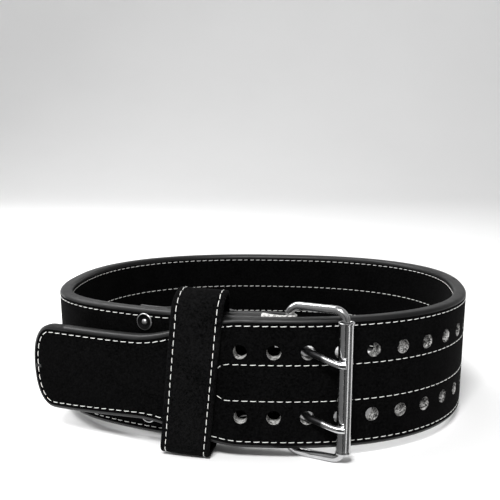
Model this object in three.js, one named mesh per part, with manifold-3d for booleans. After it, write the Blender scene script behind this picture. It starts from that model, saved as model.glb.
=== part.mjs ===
// A double-prong weightlifting belt, buckled to a ring.
// Lengths are millimetres. The ring stands round the vertical Z axis with its buckle in front, at -Y.
import * as THREE from 'three';
import { mergeVertices } from 'three/addons/utils/BufferGeometryUtils.js';
import Module from 'manifold-3d';

const wasm = await Module();
wasm.setup();

// Clearances
const SEAT_GAP = 0.3;          // between pieces that rest on each other
const LAYER_GAP = 2.8;         // between the strap's two layers in front, where rivet heads lie
const FOLD_GAP = 0.5;          // between the folded end and the tongue over it

// Strap
const BELT_HEIGHT = 101.6;
const BELT_THICK = 11;
const EDGE_ROUND = 3;
const RING_HALF_X = 182;       // outer face of the closed ring, before it is turned
const RING_HALF_Y = 160;
const RING_POWER = 2.34;
const RING_TURN = THREE.MathUtils.degToRad(-6);
const BUCKLE_ANGLE = THREE.MathUtils.degToRad(-81.5);  // where the pivot bar stands on the ring
const FADE_START = 125;        // run left of the pivot bar where the inner layer starts to move out
const FADE_LENGTH = 125;

// Tongue
const TONGUE_LEAVES = 72;      // run left of the pivot bar where the tongue leaves the ring
const TONGUE_REACH = 215.5;    // run left of the pivot bar to the tongue's tip
const TONGUE_BEND = 540;       // radius of its own slight bend
const TONGUE_WAIST = 67;       // its height just past the keeper
const TONGUE_HEIGHT = 69.5;    // its height where the tip begins to round
const TONGUE_TIP = 20;         // length of the rounded tip
const TIP_POWER = 2.3;
const TAPER_START = 36;        // run left of the pivot bar where the strap begins to narrow
const TAPER_LENGTH = 84;

// Adjustment holes
const HOLE_DIAMETER = 11;
const HOLE_PITCH = 25.4;
const HOLE_ROWS = 50.8;        // between the two rows
const HOLES_LEFT = 2;          // of the hole that the prongs use
const HOLES_RIGHT = 7;
const PRONG_HOLE_RUN = 14;     // from the pivot bar to the hole in use

// Folded end that holds the buckle
const FOLD_THICK = 3;
const SKIVE_LENGTH = 26;       // over which the strap thins towards the fold
const SKIVE_END = 3;           // run where it has reached the fold's thickness
const LAYER_SETTLE = 32;       // run in which the strap under the tongue reaches its own depth
const PATCH_SETTLE = 18;       // run in which the patch comes to lie against the strap
const PATCH_RAMP = { near: 5, far: 9.6 }; // slopes of its bulge over the keeper
const PATCH_TAIL = 23.56;      // its flat end beyond that bulge
const SLOT_LENGTH = 12.5;      // of each prong slot, left of the pivot bar

// Rivets through the fold
const RIVET_NEAR = 34.5;       // run left of the pivot bar to the first column
const RIVET_INSET = 14;        // from the patch's end to the second column
const RIVET_PITCH = 38;
const RIVET_RISE = 3;
const RIVET_HEAD = 13.4;
const RIVET_DISC = 11.4;
const RIVET_SHANK = 4;
const RIVET_CAP = [            // shares of the head's radius, and heights over its seat
  { share: 0, up: 1.6 },
  { share: 0.12, up: 1.6 },
  { share: 0.24, up: 2.2 },
  { share: 0.38, up: 1.9 },
  { share: 0.45, up: 0.9 },
  { share: 0.85, up: 1.5 },
  { share: 1, up: 1.1 },
  { share: 0.97, up: 0 },
];
const DISC_THICK = 1.5;
const DISC_BEVEL = 0.5;

// Keeper
const KEEPER_RUN = 73.8;
const KEEPER_WIDTH = 39;
const KEEPER_THICK = 3.8;
const KEEPER_ARCH = 19.5;      // from the belt's top edge to the top of the loop
const KEEPER_LEAN = THREE.MathUtils.degToRad(6.2);   // of its sides
const KEEPER_TILT = THREE.MathUtils.degToRad(2.5);   // of its upper and lower ends
const KEEPER_PLAY = 1;         // along the strap, between the keeper and the patch's bulge
const KEEPER_FOOT = 3;         // inner radius of the loop's lower corners
const KEEPER_BEVEL = 1.2;

// Buckle
const WIRE = 6.2;
const ARM_CLEAR = 7;           // from the belt's edge to the centre line of an arm
const FRAME_REACH = 46.2;      // from the pivot bar to the roller bar
const FRAME_CORNER = 9;
const ROLLER_OUTER = 11.3;
const ROLLER_INNER = 9.3;
const ROLLER_LENGTH = 102;
const ROLLER_DROP = 1.5;       // below the frame's middle
const ROLLER_RIM = 0.5;        // by which its ends are wider
const RIM_WIDTH = 1.5;
const RIM_SLOPE = 1;
const PRONG_WIRE = 5.5;
const PRONG_EYE = 2.8;         // thickness of the prong where it loops round the bar
const PRONG_TIP_DROP = [6.2, 5];          // of each tip below its hole
const PRONG_LEAVE = { along: 1.5, out: -0.75 };  // from the pivot bar, as shares of the eye's radius
const PRONG_CLIMB = [          // past the hole's centre in its radii, and out in strap thicknesses
  { past: -0.22, out: -1 },
  { past: 0.09, out: -0.3 },
  { past: 0.69, out: 0.27 },
];
const PRONG_REST = [           // from the roller's axis, as shares of the resting distance
  { along: -0.916, out: 0.876 },
  { along: -0.1, out: 1.05 },
];

// Fineness of the facets
const RING_STEP = 12;
const CURVE_STEP = 5.5;
const PATCH_STEP = 4;
const WIRE_SIDES = 10;
const HOLE_SIDES = 16;
const TUBE_SIDES = 20;
const RIVET_SIDES = 14;
const TURN_STEP = 12;          // degrees, round the tongue's tip

const HALF = BELT_HEIGHT / 2;
const FRAME_HEIGHT = BELT_HEIGHT + 2 * ARM_CLEAR;
const smooth = (share) => THREE.MathUtils.smoothstep(share, 0, 1);
const mix = THREE.MathUtils.lerp;

// The ring's outline, measured by its run: the arc length from the pivot bar, positive to the right
function ringShape(angle) {
  const c = Math.cos(angle);
  const s = Math.sin(angle);
  const x = RING_HALF_X * Math.sign(c) * Math.abs(c) ** (2 / RING_POWER);
  const y = RING_HALF_Y * Math.sign(s) * Math.abs(s) ** (2 / RING_POWER);
  return new THREE.Vector2(x, y).rotateAround(new THREE.Vector2(0, 0), RING_TURN);
}

function measureRing() {
  const table = [{ angle: BUCKLE_ANGLE, run: 0 }];
  const steps = 2880;
  let last = ringShape(BUCKLE_ANGLE);
  for (let i = 1; i <= steps; i += 1) {
    const angle = BUCKLE_ANGLE + (i / steps) * 2 * Math.PI;
    const point = ringShape(angle);
    table.push({ angle, run: table[i - 1].run + point.distanceTo(last) });
    last = point;
  }
  return table;
}

const ringTable = measureRing();
const RING_LENGTH = ringTable[ringTable.length - 1].run;

function angleAt(run) {
  const wrapped = THREE.MathUtils.euclideanModulo(run, RING_LENGTH);
  let low = 0;
  let high = ringTable.length - 1;
  while (high - low > 1) {
    const middle = (low + high) >> 1;
    if (ringTable[middle].run > wrapped) high = middle;
    else low = middle;
  }
  const a = ringTable[low];
  const b = ringTable[high];
  return mix(a.angle, b.angle, (wrapped - a.run) / (b.run - a.run));
}

function frameAt(run) {
  const angle = angleAt(run);
  const small = 0.004;
  const along = ringShape(angle + small).sub(ringShape(angle - small)).normalize();
  return { point: ringShape(angle), along, outward: new THREE.Vector2(along.y, -along.x) };
}

function place(run, out) {
  const frame = frameAt(run);
  return frame.point.addScaledVector(frame.outward, out);
}

// Rings of points joined into one closed body; the ends are capped rung by rung
function loft(rings, closed) {
  const size = rings[0].length;
  const positions = rings.flat().flatMap((p) => [p.x, p.y, p.z]);
  const index = [];
  const spans = closed ? rings.length : rings.length - 1;
  for (let i = 0; i < spans; i += 1) {
    const near = i * size;
    const far = ((i + 1) % rings.length) * size;
    for (let j = 0; j < size; j += 1) {
      const next = (j + 1) % size;
      index.push(near + j, near + next, far + next, near + j, far + next, far + j);
    }
  }
  if (!closed) {
    const end = (rings.length - 1) * size;
    for (let j = 0; j < size / 2 - 1; j += 1) {
      const a = j + 1;
      const b = size - 1 - j;
      index.push(j, b, b - 1, j, b - 1, a);
      index.push(end + j, end + a, end + b - 1, end + j, end + b - 1, end + b);
    }
  }
  const geometry = new THREE.BufferGeometry();
  geometry.setAttribute('position', new THREE.Float32BufferAttribute(positions, 3));
  geometry.setIndex(index);
  return faceOutward(geometry);
}

function faceOutward(geometry) {
  const p = geometry.getAttribute('position');
  const index = geometry.getIndex().array;
  const [a, b, c] = [new THREE.Vector3(), new THREE.Vector3(), new THREE.Vector3()];
  let volume = 0;
  for (let i = 0; i < index.length; i += 3) {
    a.fromBufferAttribute(p, index[i]);
    b.fromBufferAttribute(p, index[i + 1]);
    c.fromBufferAttribute(p, index[i + 2]);
    volume += a.dot(b.cross(c));
  }
  if (volume < 0) index.reverse();
  return geometry;
}

// Booleans
function toSolid(geometry) {
  const plain = geometry.clone();
  plain.deleteAttribute('normal');
  plain.deleteAttribute('uv');
  const merged = mergeVertices(plain, 1e-4);
  const vertProperties = new Float32Array(merged.getAttribute('position').array);
  const triVerts = new Uint32Array(merged.getIndex().array);
  return new wasm.Manifold(new wasm.Mesh({ numProp: 3, vertProperties, triVerts }));
}

function cutAway(geometry, cutters) {
  let solid = toSolid(geometry);
  for (const cutter of cutters) solid = solid.subtract(toSolid(cutter));
  const mesh = solid.getMesh();
  const result = new THREE.BufferGeometry();
  result.setAttribute('position', new THREE.Float32BufferAttribute(mesh.vertProperties, 3));
  result.setIndex(Array.from(mesh.triVerts));
  return result;
}

// A flat strip of leather with rounded edges.
// Each station has its outer-face point, thickness, half height and way along the strip.
function edgeProfile(thick) {
  const round = Math.min(EDGE_ROUND, thick * 0.45);
  const turns = [0, Math.PI / 4, Math.PI / 2];
  const outer = turns.map((turn) => ({
    depth: round * (1 - Math.cos(turn)),
    inset: round * (1 - Math.sin(turn)),
  }));
  const inner = outer.map(({ depth, inset }) => ({ depth: thick - depth, inset })).reverse();
  return [...outer, ...inner];
}

function slope(before, after, value) {
  return (value(after) - value(before)) / (after.along - before.along || 1);
}

function strip(stations) {
  const last = stations.length - 1;
  const rings = stations.map((station, i) => {
    const before = stations[Math.max(i - 1, 0)];
    const after = stations[Math.min(i + 1, last)];
    const way = after.point.clone().sub(before.point).normalize();
    const inward = new THREE.Vector2(way.y, -way.x);
    const fall = -slope(before, after, (s) => s.half);
    const norm = Math.hypot(1, fall);
    const corner = ({ depth, inset }, side) => {
      const p = station.point.clone();
      p.addScaledVector(inward, depth).addScaledVector(way, (-inset * fall) / norm);
      return new THREE.Vector3(p.x, p.y, side * (station.half - inset / norm));
    };
    const profile = edgeProfile(station.thick);
    const top = profile.map((item) => corner(item, 1));
    const bottom = profile.map((item) => corner(item, -1)).reverse();
    return [...top, ...bottom];
  });
  return loft(rings, false);
}

// Depths below the ring's outer face, in the stretch where the strap lies double
const BAR_RADIUS = WIRE / 2;
const WRAP_RADIUS = BAR_RADIUS + SEAT_GAP + FOLD_THICK;
const PIVOT_DEPTH = BELT_THICK + FOLD_GAP + WRAP_RADIUS;
const LAYER_DEPTH = BELT_THICK + LAYER_GAP;
const PATCH_DEPTH = LAYER_DEPTH + BELT_THICK + SEAT_GAP + FOLD_THICK;
const KEEPER_ROOM = KEEPER_THICK + 2 * SEAT_GAP;
const LEAN_SHIFT = HALF * Math.tan(KEEPER_LEAN);
const BULGE_HALF = KEEPER_WIDTH / 2 + LEAN_SHIFT + KEEPER_PLAY;
const PATCH_LENGTH = KEEPER_RUN + BULGE_HALF + PATCH_RAMP.far + PATCH_TAIL;
const RIVET_RUNS = [RIVET_NEAR, PATCH_LENGTH - RIVET_INSET];

const pivotFrame = frameAt(0);
const pivot = place(0, -PIVOT_DEPTH);

function layerDepth(left) {
  const rise = smooth(left / SKIVE_LENGTH);
  const front = mix(PIVOT_DEPTH - WRAP_RADIUS, LAYER_DEPTH, rise);
  return front * (1 - smooth((left - FADE_START) / FADE_LENGTH));
}

function layerThick(left) {
  return mix(FOLD_THICK, BELT_THICK, smooth((left - SKIVE_END) / (SKIVE_LENGTH - SKIVE_END)));
}

// The patch bulges where the keeper passes behind it
function patchDepth(left) {
  const near = smooth((left - KEEPER_RUN + BULGE_HALF) / PATCH_RAMP.near + 1);
  const far = smooth((KEEPER_RUN + BULGE_HALF - left) / PATCH_RAMP.far + 1);
  const flat = mix(PIVOT_DEPTH + WRAP_RADIUS, PATCH_DEPTH, smooth(left / PATCH_SETTLE));
  return flat + KEEPER_ROOM * near * far;
}

// The tongue runs on in a flatter bend from where it leaves the ring
const leave = frameAt(-TONGUE_LEAVES);

function tonguePoint(left) {
  if (left <= TONGUE_LEAVES) return place(-left, 0);
  const turn = (left - TONGUE_LEAVES) / TONGUE_BEND;
  return leave.point.clone()
    .addScaledVector(leave.along, -TONGUE_BEND * Math.sin(turn))
    .addScaledVector(leave.outward, -TONGUE_BEND * (1 - Math.cos(turn)));
}

function tongueHalf(left) {
  const taperEnd = TAPER_START + TAPER_LENGTH;
  const waist = mix(BELT_HEIGHT, TONGUE_WAIST, smooth((left - TAPER_START) / TAPER_LENGTH));
  const widening = smooth((left - taperEnd) / (TONGUE_REACH - TONGUE_TIP - taperEnd));
  return (waist + (TONGUE_HEIGHT - TONGUE_WAIST) * widening) / 2;
}

function steps(from, to, size) {
  const count = Math.max(1, Math.round(Math.abs(to - from) / size));
  return Array.from({ length: count }, (_, i) => mix(from, to, i / count));
}

function strapStations() {
  const list = [];
  const add = (along, point, thick, half) => list.push({ along, point, thick, half });
  for (const left of steps(PATCH_LENGTH, 2, PATCH_STEP)) {
    add(-left, place(-left, -patchDepth(left)), FOLD_THICK, HALF);
  }
  for (let turn = -90; turn <= 90; turn += 22.5) {
    const angle = THREE.MathUtils.degToRad(turn);
    const point = pivot.clone();
    point.addScaledVector(pivotFrame.along, WRAP_RADIUS * Math.cos(angle));
    point.addScaledVector(pivotFrame.outward, WRAP_RADIUS * Math.sin(angle));
    add(list.length, point, FOLD_THICK, HALF);
  }
  const layer = (left) => add(list.length, place(-left, -layerDepth(left)), layerThick(left), HALF);
  steps(2, LAYER_SETTLE, CURVE_STEP / 2).forEach(layer);
  steps(LAYER_SETTLE, RING_LENGTH + TAPER_START, RING_STEP).forEach(layer);
  const taperEnd = TAPER_START + TAPER_LENGTH;
  const tipStart = TONGUE_REACH - TONGUE_TIP;
  const tongue = [
    ...steps(TAPER_START, taperEnd, CURVE_STEP),
    ...steps(taperEnd, tipStart, RING_STEP * 2),
  ];
  for (const left of tongue) add(left, tonguePoint(left), BELT_THICK, tongueHalf(left));
  for (let turn = 0; turn < 90; turn += TURN_STEP) {
    const angle = THREE.MathUtils.degToRad(turn);
    const left = tipStart + TONGUE_TIP * Math.sin(angle) ** (2 / TIP_POWER);
    const half = tongueHalf(tipStart) * Math.cos(angle) ** (2 / TIP_POWER);
    add(left, tonguePoint(left), BELT_THICK, half);
  }
  return list;
}

// Cutters
function radialCylinder(run, z, radius, outFrom, outTo, sides) {
  const frame = frameAt(run);
  const geometry = new THREE.CylinderGeometry(radius, radius, Math.abs(outTo - outFrom), sides);
  const centre = place(run, (outFrom + outTo) / 2);
  geometry.applyQuaternion(new THREE.Quaternion().setFromUnitVectors(
    new THREE.Vector3(0, 1, 0), new THREE.Vector3(frame.outward.x, frame.outward.y, 0)));
  return geometry.translate(centre.x, centre.y, z);
}

function runBlock(runFrom, runTo, outFrom, outTo, z, height) {
  const rings = [];
  for (let i = 0; i <= 4; i += 1) {
    const run = mix(runFrom, runTo, i / 4);
    const outer = place(run, outTo);
    const inner = place(run, outFrom);
    const corner = (p, side) => new THREE.Vector3(p.x, p.y, z + (side * height) / 2);
    rings.push([corner(outer, 1), corner(inner, 1), corner(inner, -1), corner(outer, -1)]);
  }
  return loft(rings, false);
}

const rowHeights = [HOLE_ROWS / 2, -HOLE_ROWS / 2];
const rivetHeights = [1, 0, -1].map((row) => row * RIVET_PITCH + RIVET_RISE);

function strapCutters() {
  const cutters = [];
  for (const z of rowHeights) {
    for (let k = -HOLES_LEFT; k <= HOLES_RIGHT; k += 1) {
      const run = PRONG_HOLE_RUN + k * HOLE_PITCH;
      const floor = -BELT_THICK - 0.8 * SEAT_GAP;
      cutters.push(radialCylinder(run, z, HOLE_DIAMETER / 2, floor, 4, HOLE_SIDES));
    }
    const slotFrom = -PIVOT_DEPTH - 2 * WRAP_RADIUS;
    const slotTo = -BELT_THICK - SEAT_GAP / 2;
    const slotHeight = PRONG_WIRE + 2 * SEAT_GAP;
    cutters.push(runBlock(-SLOT_LENGTH, 2 * WRAP_RADIUS, slotFrom, slotTo, z, slotHeight));
  }
  for (const left of RIVET_RUNS) {
    for (const z of rivetHeights) {
      const radius = RIVET_SHANK / 2 + SEAT_GAP;
      const outer = -LAYER_DEPTH + 1;
      cutters.push(radialCylinder(-left, z, radius, -PATCH_DEPTH - 1, outer, WIRE_SIDES));
    }
  }
  return cutters;
}

// The buckle stands in a plane through the pivot bar, turned until its roller rests on the strap
const ROLLER_REST = ROLLER_OUTER / 2 + ROLLER_RIM + SEAT_GAP;

function rollerCentre() {
  let low = 0;
  let high = FRAME_REACH * 1.5;
  for (let i = 0; i < 40; i += 1) {
    const middle = (low + high) / 2;
    if (place(middle, ROLLER_REST).distanceTo(pivot) > FRAME_REACH) high = middle;
    else low = middle;
  }
  return place(low, ROLLER_REST);
}

const roller = rollerCentre();
const reachWay = roller.clone().sub(pivot).normalize();

function roundedCorner(centre, radius, from, to, count) {
  return Array.from({ length: count + 1 }, (_, i) => {
    const angle = THREE.MathUtils.degToRad(mix(from, to, i / count));
    const normal = new THREE.Vector2(Math.cos(angle), Math.sin(angle));
    return { point: centre.clone().addScaledVector(normal, radius), normal };
  });
}

function buckleFrame() {
  const inX = FRAME_REACH - FRAME_CORNER;
  const inZ = FRAME_HEIGHT / 2 - FRAME_CORNER;
  const at = (x, z) => new THREE.Vector2(x, z);
  const path = [
    ...roundedCorner(at(inX, inZ), FRAME_CORNER, 0, 90, 5),
    ...roundedCorner(at(FRAME_CORNER, inZ), FRAME_CORNER, 90, 180, 5),
    ...roundedCorner(at(FRAME_CORNER, -inZ), FRAME_CORNER, 180, 270, 5),
    ...roundedCorner(at(inX, -inZ), FRAME_CORNER, 270, 360, 5),
  ];
  const across = new THREE.Vector3(-reachWay.y, reachWay.x, 0);
  const lift = ({ x, y }) => new THREE.Vector3(x * reachWay.x, x * reachWay.y, y);
  const rings = path.map(({ point, normal }) => {
    const centre = lift(point).add(new THREE.Vector3(pivot.x, pivot.y, 0));
    return circle(centre, lift(normal), across, WIRE / 2, WIRE / 2);
  });
  return loft(rings, true);
}

function circle(centre, u, v, halfU, halfV) {
  return Array.from({ length: WIRE_SIDES }, (_, j) => {
    const angle = ((j + 0.5) / WIRE_SIDES) * 2 * Math.PI;
    const point = centre.clone().addScaledVector(u, halfU * Math.cos(angle));
    return point.addScaledVector(v, halfV * Math.sin(angle));
  });
}

// Each prong loops round the pivot bar, climbs through its hole and rests on the roller
function prong(z, drop) {
  const eye = BAR_RADIUS + SEAT_GAP + PRONG_EYE / 2;
  const local = (along, out) => pivot.clone()
    .addScaledVector(pivotFrame.along, along).addScaledVector(pivotFrame.outward, out);
  const loop = [];
  for (let turn = 50; turn <= 270; turn += 22) {
    const angle = THREE.MathUtils.degToRad(turn);
    loop.push(local(eye * Math.cos(angle), eye * Math.sin(angle)));
  }
  const rest = ROLLER_OUTER / 2 + PRONG_WIRE / 2 + SEAT_GAP;
  const onRoller = ({ along, out }) => roller.clone()
    .addScaledVector(pivotFrame.along, along * rest).addScaledVector(pivotFrame.outward, out * rest);
  const climb = ({ past, out }) => place(
    PRONG_HOLE_RUN + (past * HOLE_DIAMETER) / 2, out * BELT_THICK);
  const shank = new THREE.SplineCurve([
    local(0, -eye),
    local(eye * PRONG_LEAVE.along, eye * PRONG_LEAVE.out),
    ...PRONG_CLIMB.map(climb),
    ...PRONG_REST.map(onRoller),
  ]).getSpacedPoints(14).slice(1);
  const path = [...loop, ...shank];
  const rings = path.map((point, i) => {
    const before = path[Math.max(i - 1, 0)];
    const after = path[Math.min(i + 1, path.length - 1)];
    const way = after.clone().sub(before).normalize();
    const share = THREE.MathUtils.clamp((i - loop.length + 1) / shank.length, 0, 1);
    const height = z - drop * smooth(share * 2 - 1);
    const half = mix(PRONG_EYE, PRONG_WIRE, smooth(share * 4)) / 2;
    const side = new THREE.Vector3(way.y, -way.x, 0);
    const centre = new THREE.Vector3(point.x, point.y, height);
    return circle(centre, side, new THREE.Vector3(0, 0, 1), half, PRONG_WIRE / 2);
  });
  return loft(rings, false);
}

function rollerTube() {
  const out = ROLLER_OUTER / 2;
  const half = ROLLER_LENGTH / 2;
  const rimEnd = half - RIM_WIDTH;
  const slopeEnd = rimEnd - RIM_SLOPE;
  const at = (radius, height) => new THREE.Vector2(radius, height);
  const profile = [
    at(ROLLER_INNER / 2, -half),
    at(out + ROLLER_RIM, -half),
    at(out + ROLLER_RIM, -rimEnd),
    at(out, -slopeEnd),
    at(out, slopeEnd),
    at(out + ROLLER_RIM, rimEnd),
    at(out + ROLLER_RIM, half),
    at(ROLLER_INNER / 2, half),
    at(ROLLER_INNER / 2, -half),
  ];
  return faceOutward(new THREE.LatheGeometry(profile, TUBE_SIDES).rotateX(Math.PI / 2));
}

// Rivet: a cupped washer with a domed cap outside, a shank, and a flat disc inside
function rivet() {
  const head = RIVET_HEAD / 2;
  const disc = RIVET_DISC / 2;
  const shank = RIVET_SHANK / 2;
  const depth = PATCH_DEPTH - LAYER_DEPTH + 2 * SEAT_GAP;
  const end = -depth - DISC_THICK;
  const at = (radius, height) => new THREE.Vector2(radius, height);
  const profile = [
    ...RIVET_CAP.map(({ share, up }) => at(head * share, up)),
    at(shank, 0),
    at(shank, -depth),
    at(disc, -depth),
    at(disc, end + DISC_BEVEL),
    at(disc - DISC_BEVEL, end),
    at(0, end),
  ];
  return faceOutward(new THREE.LatheGeometry(profile, RIVET_SIDES));
}

// Keeper: a closed loop round the tongue and the strap's inner layer, under the patch
function tongueOut(run) {
  const frame = frameAt(run);
  return tonguePoint(-run).sub(frame.point).dot(frame.outward);
}

const keeperBack = -(LAYER_DEPTH + BELT_THICK + SEAT_GAP);
const keeperFront = SEAT_GAP;
const keeperFrame = frameAt(-KEEPER_RUN);

// Floor under the belt: it touches the ring's rear edge and the buckle's lower arm
const rearY = Math.max(...ringTable.map(({ angle }) => ringShape(angle).y));
const armBottom = FRAME_HEIGHT / 2 + WIRE / 2;
const FLOOR_SLOPE = (armBottom - HALF) / (rearY - pivot.y);
const floorUnder = (y) => -HALF - (rearY - y) * FLOOR_SLOPE;

function keeperPath() {
  const arch = (keeperFront - keeperBack) / 2;
  const middle = (keeperFront + keeperBack) / 2;
  const top = HALF + KEEPER_ARCH - KEEPER_THICK - arch;
  const backY = keeperFrame.point.y + keeperBack * keeperFrame.outward.y;
  const sag = (KEEPER_WIDTH / 2) * Math.sin(KEEPER_TILT);
  const bottom = floorUnder(backY) + sag + KEEPER_THICK + KEEPER_FOOT;
  const at = (out, z) => new THREE.Vector2(out, z);
  return [
    ...roundedCorner(at(middle, top), arch, 0, 180, 12),
    ...roundedCorner(at(keeperBack + KEEPER_FOOT, bottom), KEEPER_FOOT, 180, 270, 4),
    ...roundedCorner(at(keeperFront - KEEPER_FOOT, bottom), KEEPER_FOOT, 270, 360, 4),
  ];
}

function keeperSection() {
  const half = KEEPER_WIDTH / 2;
  const inner = [-half + KEEPER_BEVEL, -half / 2, 0, half / 2, half - KEEPER_BEVEL];
  const outer = [...inner].reverse();
  return [
    ...inner.map((across) => ({ across, up: 0 })),
    { across: half, up: KEEPER_BEVEL },
    { across: half, up: KEEPER_THICK - KEEPER_BEVEL },
    ...outer.map((across) => ({ across, up: KEEPER_THICK })),
    { across: -half, up: KEEPER_THICK - KEEPER_BEVEL },
    { across: -half, up: KEEPER_BEVEL },
  ];
}

function keeper() {
  const section = keeperSection();
  const rings = keeperPath().map(({ point, normal }) => section.map(({ across, up }) => {
    const spot = point.clone().addScaledVector(normal, up);
    const run = -KEEPER_RUN + across * Math.cos(KEEPER_LEAN) + spot.y * Math.sin(KEEPER_LEAN);
    const height = spot.y * Math.cos(KEEPER_LEAN) - across * Math.sin(KEEPER_TILT);
    const share = THREE.MathUtils.clamp((spot.x - keeperBack) / (keeperFront - keeperBack), 0, 1);
    const p = place(run, spot.x + share * tongueOut(run));
    return new THREE.Vector3(p.x, p.y, height);
  }));
  return loft(rings, true);
}

// Materials
const suede = { color: 0x131313, roughness: 0.95, metalness: 0 };
const nickel = { color: 0xc8c8ca, roughness: 0.18, metalness: 1 };
const rivetMetal = { color: 0xa9a9ab, roughness: 0.35, metalness: 1 };

function named(name, geometry, look) {
  const mesh = new THREE.Mesh(geometry, new THREE.MeshStandardMaterial(look));
  mesh.name = name;
  return mesh;
}

const worn = new THREE.Group();
worn.add(named('strap', cutAway(strip(strapStations()), strapCutters()), suede));
worn.add(named('keeper', keeper(), suede));
worn.add(named('buckle_frame', buckleFrame(), nickel));

const rollerMesh = named('buckle_roller', rollerTube(), nickel);
rollerMesh.position.set(roller.x, roller.y, -ROLLER_DROP);
worn.add(rollerMesh);

['prong_upper', 'prong_lower'].forEach((name, i) => {
  worn.add(named(name, prong(rowHeights[i], PRONG_TIP_DROP[i]), nickel));
});

RIVET_RUNS.forEach((left, column) => {
  const frame = frameAt(-left);
  const seat = place(-left, -LAYER_DEPTH + SEAT_GAP);
  rivetHeights.forEach((z, row) => {
    const mesh = named(`rivet_${column + 1}_${row + 1}`, rivet(), rivetMetal);
    mesh.position.set(seat.x, seat.y, z);
    mesh.quaternion.setFromUnitVectors(
      new THREE.Vector3(0, 1, 0), new THREE.Vector3(frame.outward.x, frame.outward.y, 0));
    worn.add(mesh);
  });
});

// The belt stands on that floor, and its origin is the bottom centre of its box
worn.rotation.x = -Math.atan(FLOOR_SLOPE);
const belt = new THREE.Group();
belt.add(worn);
belt.updateMatrixWorld(true);
const box = new THREE.Box3().setFromObject(belt, true);
const centre = box.getCenter(new THREE.Vector3());
belt.position.set(-centre.x, -centre.y, -box.min.z);
belt.updateMatrixWorld(true);

export default belt;
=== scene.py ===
"""Looks of a double-prong weightlifting belt, buckled to a ring and standing on its lower edge.

The shapes are worked out in millimetres in the belt's own frame, where the ring stands round the Z axis
with its buckle in front, at -Y. to_row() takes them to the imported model's frame, in metres.
"left" is a length along the strap, from the pivot bar leftwards round the ring and on along the tongue.
"run" is the same length on the ring alone, positive to the right.
"""
import math

import bpy
import numpy as np
from mathutils import Matrix, Vector


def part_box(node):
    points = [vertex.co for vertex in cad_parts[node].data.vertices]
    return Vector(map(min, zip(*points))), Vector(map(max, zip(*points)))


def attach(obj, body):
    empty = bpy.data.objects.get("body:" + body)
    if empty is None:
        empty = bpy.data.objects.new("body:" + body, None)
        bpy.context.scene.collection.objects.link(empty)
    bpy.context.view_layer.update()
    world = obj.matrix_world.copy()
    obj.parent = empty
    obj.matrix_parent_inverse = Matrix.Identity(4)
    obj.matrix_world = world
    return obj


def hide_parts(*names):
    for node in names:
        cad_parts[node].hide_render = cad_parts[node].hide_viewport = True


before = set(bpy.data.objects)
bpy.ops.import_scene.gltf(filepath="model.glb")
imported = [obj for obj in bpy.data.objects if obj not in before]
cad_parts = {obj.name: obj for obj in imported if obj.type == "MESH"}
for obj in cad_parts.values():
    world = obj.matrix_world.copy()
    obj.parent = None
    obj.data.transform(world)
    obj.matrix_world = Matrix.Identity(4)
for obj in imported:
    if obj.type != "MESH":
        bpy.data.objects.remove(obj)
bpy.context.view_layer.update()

MM = 0.001

# Clearances
SEAT_GAP = 0.3                 # between pieces that touch
LAYER_GAP = 2.8                # between the strap's two layers
FOLD_GAP = 0.5                 # between the strap and the fold

# Strap
BELT_HEIGHT = 101.6
BELT_THICK = 11
EDGE_ROUND = 3
RING_HALF_X = 182
RING_HALF_Y = 160
RING_POWER = 2.34              # of its superellipse
RING_TURN = math.radians(-6)
BUCKLE_ANGLE = math.radians(-81.5)  # of the pivot bar, round the ring
FADE_START = 125               # left of the pivot bar, where the inner layer starts to come out to the ring
FADE_LENGTH = 125
HALF = BELT_HEIGHT / 2

# Tongue
TONGUE_LEAVES = 72             # left of the pivot bar, where it leaves the ring's curve
TONGUE_REACH = 215.5
TONGUE_BEND = 540              # its radius from there
TONGUE_WAIST = 67
TONGUE_HEIGHT = 69.5
TONGUE_TIP = 20
TIP_POWER = 2.3
TAPER_START = 36
TAPER_LENGTH = 84

# Holes
HOLE_DIAMETER = 11
HOLE_PITCH = 25.4
HOLE_ROWS = 50.8
HOLES_LEFT = 2
HOLES_RIGHT = 7
PRONG_HOLE_RUN = 14            # of the prongs' holes, right of the pivot bar

# Folded end
FOLD_THICK = 3
PATCH_LENGTH = 133
SKIVE_LENGTH = 26              # over which the strap thins into the fold
SKIVE_END = 3
PATCH_SETTLE = 18              # over which the patch gets to its depth behind the inner layer
PATCH_RAMP_NEAR = 5            # of its bulge over the keeper
PATCH_RAMP_FAR = 9.6
SLOT_LENGTH = 12.5

# Rivets
RIVET_RUNS = [34.5, PATCH_LENGTH - 14]
RIVET_PITCH = 38
RIVET_RISE = 3                 # of the middle rivets over the strap's middle
RIVET_HEAD = 13.4
RIVET_DISC = 11.4
RIVET_SHANK = 4

# Keeper
KEEPER_RUN = 73.8
KEEPER_WIDTH = 39
KEEPER_THICK = 3.8
KEEPER_ARCH = 19.5             # of its top over the strap
KEEPER_LEAN = math.radians(6.2)
KEEPER_TILT = math.radians(2.5)
KEEPER_PLAY = 1
KEEPER_FOOT = 3                # of its lower bends
KEEPER_ROUND = 1.3
KEEPER_STEP = 3.5              # between stations on its straight runs

# Buckle
WIRE = 6.2
ARM_CLEAR = 7                  # from the strap's edge to the middle of the wire
FRAME_HEIGHT = BELT_HEIGHT + 2 * ARM_CLEAR
FRAME_REACH = 46.2
FRAME_CORNER = 9
ROLLER_OUTER = 11.3
ROLLER_INNER = 9.3
ROLLER_LENGTH = 102
ROLLER_DROP = 1.5              # of its middle under the strap's middle
ROLLER_RIM = 0.5
PRONG_WIRE = 5.5
PRONG_EYE = 2.8
PRONG_TIP_DROPS = [6.2, 5]     # of the upper and the lower prong's tip under its hole

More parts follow.
